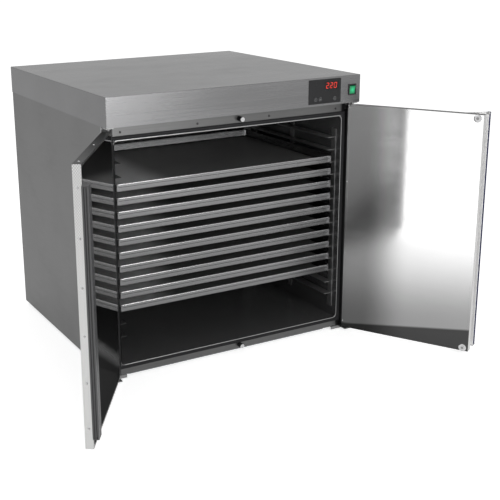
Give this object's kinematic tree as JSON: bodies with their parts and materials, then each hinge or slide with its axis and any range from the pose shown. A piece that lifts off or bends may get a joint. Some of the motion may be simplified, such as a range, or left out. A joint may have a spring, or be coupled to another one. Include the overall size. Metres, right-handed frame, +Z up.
{
  "type": "plate warmer cabinet",
  "caption": "Stainless steel warming cabinet with two hinged doors, a pull handle, a control panel on the fascia and shallow trays sliding on side runners.",
  "frame": {"origin": "on the floor, in the middle of the base frame's underside", "axes": "+X to the cabinet's right as one faces its doors, +Y to the back, +Z up"},
  "size_m": [1.2431, 1.0813, 0.797],
  "materials": {
    "stainless_brushed": "fine horizontal brushing",
    "frame_steel": "satin",
    "galvanised_steel": "dull zinc",
    "liner_steel": "smooth stainless steel",
    "door_mirror_steel": "mirror polished",
    "tray_steel": "bright rolled sheet",
    "bright_steel": "bright",
    "seal_rubber": "matt black",
    "heater_silicone": "matt",
    "mineral_wool": "loose fibre",
    "bush_plastic": "natural",
    "handle_plastic": "fine grained",
    "panel_film": "satin film",
    "display_plastic": "gloss",
    "display_light": "lit",
    "board_plastic": "satin",
    "key_plastic": "satin",
    "switch_plastic": "satin black",
    "rocker_lens": "lit green lens",
    "power_parts_casing": "satin"
  },
  "bodies": {
    "cabinet": {"top_cover": "stainless_brushed", "side_panel_left": "stainless_brushed", "side_panel_right": "stainless_brushed", "back_panel": "stainless_brushed", "base_pan": "galvanised_steel", "base_plinth": "galvanised_steel", "compartment_deck": "galvanised_steel", "door_jambs": "frame_steel", "header_rail": "frame_steel", "sill_rail": "frame_steel", "frame_rivets": "bright_steel", "door_seal": "seal_rubber", "liner_sides": "liner_steel", "liner_floor": "liner_steel", "liner_top": "liner_steel", "liner_back": "liner_steel", "heater_mats": "heater_silicone", "insulation": "mineral_wool", "tray_runners": "liner_steel", "rack_uprights": "liner_steel", "temperature_probe": "bright_steel", "catch_magnets": "bright_steel", "hinge_brackets": "frame_steel", "control_panel": "panel_film", "display_window": "display_plastic", "display_lights": "display_light", "control_board": "board_plastic", "switch_housing": "switch_plastic", "power_parts": "power_parts_casing", "mains_inlet": "switch_plastic"},
    "door_left": {"door_left_skin": "stainless_brushed", "door_left_core": "mineral_wool", "door_left_liner": "door_mirror_steel", "door_left_bushes": "bush_plastic", "door_left_rivets": "bright_steel", "astragal": "seal_rubber", "astragal_caps": "bright_steel"},
    "door_right": {"door_right_skin": "stainless_brushed", "door_right_core": "mineral_wool", "door_right_liner": "door_mirror_steel", "door_right_bushes": "bush_plastic", "door_right_rivets": "bright_steel", "pull_plate": "stainless_brushed", "pull_grip": "handle_plastic", "pull_caps": "handle_plastic", "strikers": "bright_steel"},
    "tray_03_body": {"tray_03": "tray_steel"},
    "tray_04_body": {"tray_04": "tray_steel"},
    "tray_05_body": {"tray_05": "tray_steel"},
    "tray_06_body": {"tray_06": "tray_steel"},
    "tray_07_body": {"tray_07": "tray_steel"},
    "tray_08_body": {"tray_08": "tray_steel"},
    "tray_09_body": {"tray_09": "tray_steel"},
    "tray_10_body": {"tray_10": "tray_steel"},
    "tray_11_body": {"tray_11": "tray_steel"},
    "tray_12_body": {"tray_12": "tray_steel"},
    "key_down_body": {"key_down": "key_plastic"},
    "key_up_body": {"key_up": "key_plastic"},
    "key_power_body": {"key_power": "key_plastic"},
    "rocker_body": {"rocker": "rocker_lens"}
  },
  "joints": [
    {"name": "door_left_hinge", "type": "hinge", "parent": "cabinet", "child": "door_left", "pos_m": [-0.3868, -0.3595, 0.36], "axis": [0, 0, -1], "range_deg": [-123.28, 56.72]},
    {"name": "door_right_hinge", "type": "hinge", "parent": "cabinet", "child": "door_right", "pos_m": [0.3868, -0.3595, 0.36], "axis": [0, 0, 1], "range_deg": [-120.1, 59.9]},
    {"name": "tray_03_slide", "type": "slide", "parent": "cabinet", "child": "tray_03_body", "axis": [0, -1, 0], "range_m": [0, 0.56]},
    {"name": "tray_04_slide", "type": "slide", "parent": "cabinet", "child": "tray_04_body", "axis": [0, -1, 0], "range_m": [0, 0.56]},
    {"name": "tray_05_slide", "type": "slide", "parent": "cabinet", "child": "tray_05_body", "axis": [0, -1, 0], "range_m": [0, 0.56]},
    {"name": "tray_06_slide", "type": "slide", "parent": "cabinet", "child": "tray_06_body", "axis": [0, -1, 0], "range_m": [0, 0.56]},
    {"name": "tray_07_slide", "type": "slide", "parent": "cabinet", "child": "tray_07_body", "axis": [0, -1, 0], "range_m": [0, 0.56]},
    {"name": "tray_08_slide", "type": "slide", "parent": "cabinet", "child": "tray_08_body", "axis": [0, -1, 0], "range_m": [0, 0.56]},
    {"name": "tray_09_slide", "type": "slide", "parent": "cabinet", "child": "tray_09_body", "axis": [0, -1, 0], "range_m": [0, 0.56]},
    {"name": "tray_10_slide", "type": "slide", "parent": "cabinet", "child": "tray_10_body", "axis": [0, -1, 0], "range_m": [0, 0.56]},
    {"name": "tray_11_slide", "type": "slide", "parent": "cabinet", "child": "tray_11_body", "axis": [0, -1, 0], "range_m": [0, 0.56]},
    {"name": "tray_12_slide", "type": "slide", "parent": "cabinet", "child": "tray_12_body", "axis": [0, -1, 0], "range_m": [0, 0.56]},
    {"name": "key_down_press", "type": "slide", "parent": "cabinet", "child": "key_down_body", "axis": [0, 1, 0], "range_m": [0, 0.0005], "stiffness_N_per_m": 900, "springref_m": -0.0005},
    {"name": "key_up_press", "type": "slide", "parent": "cabinet", "child": "key_up_body", "axis": [0, 1, 0], "range_m": [0, 0.0005], "stiffness_N_per_m": 900, "springref_m": -0.0005},
    {"name": "key_power_press", "type": "slide", "parent": "cabinet", "child": "key_power_body", "axis": [0, 1, 0], "range_m": [0, 0.0005], "stiffness_N_per_m": 900, "springref_m": -0.0005},
    {"name": "rocker_tilt", "type": "hinge", "parent": "cabinet", "child": "rocker_body", "pos_m": [0.3711, -0.37, 0.7556], "axis": [-1, 0, 0], "range_deg": [0, 20]}
  ]
}
